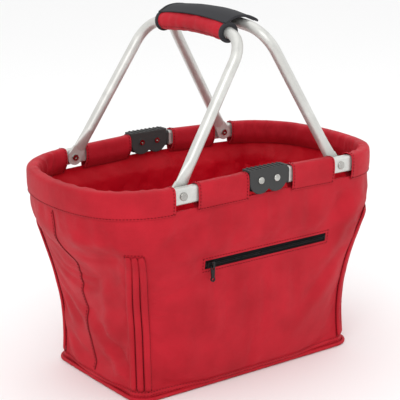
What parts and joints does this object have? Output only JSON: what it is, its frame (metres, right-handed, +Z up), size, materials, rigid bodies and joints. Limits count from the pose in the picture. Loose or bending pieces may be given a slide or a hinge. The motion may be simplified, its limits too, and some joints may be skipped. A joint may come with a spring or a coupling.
{
  "type": "folding shopping basket",
  "caption": "Folding insulated shopping basket with an aluminium rim, two swinging handles with a padded grip, and a zipped front pocket.",
  "frame": {"origin": "middle of the base on the surface the basket stands on", "axes": "+X along the length, +Y to the back away from the zipped pocket, +Z up"},
  "size_m": [0.4858, 0.3028, 0.4922],
  "materials": {
    "red_polyester": "woven, satin",
    "red_lining": "smooth coated lining",
    "anodised_aluminium": "satin anodised",
    "rivet_metal": "polished",
    "black_nylon": "fine moulded grain",
    "black_webbing": "woven tape",
    "zip_black": "moulded",
    "foam": "closed cell foam",
    "board": "stiff sheet"
  },
  "bodies": {
    "bag": {"shell_front": "red_polyester", "shell_back": "red_polyester", "shell_left": "red_polyester", "shell_right": "red_polyester", "base_panel": "red_polyester", "base_board_left": "board", "base_board_right": "board", "insulation_floor": "foam", "insulation_wall": "foam", "lining_floor": "red_lining", "lining_wall": "red_lining", "base_piping": "red_polyester", "corner_ribs_front_left": "red_polyester", "corner_ribs_front_right": "red_polyester", "corner_ribs_back_left": "red_polyester", "corner_ribs_back_right": "red_polyester", "pocket_pouch": "red_lining", "zip_tape_upper": "black_webbing", "zip_tape_lower": "black_webbing", "zip_coil": "zip_black", "zip_stops": "zip_black", "hinge_block_front": "black_nylon", "hinge_block_back": "black_nylon", "hinge_rivets_front": "rivet_metal", "hinge_rivets_back": "rivet_metal"},
    "rim_left": {"rim_tube_left": "anodised_aluminium", "hinge_knuckles_left": "black_nylon", "handle_rivets_left": "rivet_metal", "handle_washers_left": "rivet_metal", "end_sleeve_left": "red_polyester", "side_sleeves_left": "red_polyester"},
    "rim_right": {"rim_tube_right": "anodised_aluminium", "hinge_knuckles_right": "black_nylon", "handle_rivets_right": "rivet_metal", "handle_washers_right": "rivet_metal", "end_sleeve_right": "red_polyester", "side_sleeves_right": "red_polyester"},
    "left_handle": {"handle_left": "anodised_aluminium", "grip_foam": "foam", "grip_wrap": "red_polyester", "grip_bindings": "black_webbing", "hook_tape": "black_webbing"},
    "right_handle": {"handle_right": "anodised_aluminium"},
    "flap": {"grip_flap": "black_webbing", "loop_tape": "black_webbing"},
    "slider": {"zip_slider": "zip_black"},
    "pull": {"zip_pull": "zip_black"}
  },
  "joints": [
    {"name": "rim_fold_left", "type": "hinge", "parent": "bag", "child": "rim_left", "pos_m": [-0.013, 0, 0.2824], "axis": [0, -1, 0], "range_deg": [0, 88], "deforming": ["shell_front", "shell_back", "shell_left", "insulation_floor", "insulation_wall", "lining_floor", "lining_wall", "base_panel", "base_board_left", "base_piping", "corner_ribs_front_left", "corner_ribs_back_left", "pocket_pouch", "zip_tape_upper", "zip_tape_lower", "zip_coil", "zip_stops", "end_sleeve_left", "side_sleeves_left", "zip_slider", "zip_pull"]},
    {"name": "rim_fold_right", "type": "hinge", "parent": "bag", "child": "rim_right", "pos_m": [0.013, 0, 0.2824], "axis": [0, 1, 0], "range_deg": [0, 88], "deforming": ["shell_front", "shell_back", "shell_right", "insulation_floor", "insulation_wall", "lining_floor", "lining_wall", "base_panel", "base_board_right", "base_piping", "corner_ribs_front_right", "corner_ribs_back_right", "pocket_pouch", "zip_tape_upper", "zip_tape_lower", "zip_coil", "zip_stops", "end_sleeve_right", "side_sleeves_right", "zip_slider", "zip_pull", "grip_flap", "loop_tape"]},
    {"name": "handle_left_swing", "type": "hinge", "parent": "rim_left", "child": "left_handle", "pos_m": [-0.13, 0, 0.27913], "axis": [0, -1, 0], "range_deg": [0, 76]},
    {"name": "handle_right_swing", "type": "hinge", "parent": "rim_right", "child": "right_handle", "pos_m": [0.13, 0, 0.27913], "axis": [0, 1, 0], "range_deg": [0, 76], "deforming": ["grip_flap", "loop_tape"]},
    {"name": "flap_open", "type": "hinge", "parent": "left_handle", "child": "flap", "pos_m": [-0.01532, 0, 0.48295], "axis": [0, -1, 0], "range_deg": [0, 120]},
    {"name": "zip_slide", "type": "slide", "parent": "bag", "child": "slider", "axis": [1, 0, 0], "range_m": [0, 0.184]},
    {"name": "pull_swing", "type": "hinge", "parent": "slider", "child": "pull", "pos_m": [-0.084, -0.13859, 0.17699], "axis": [-1, 0, 0], "range_deg": [0, 100]}
  ]
}
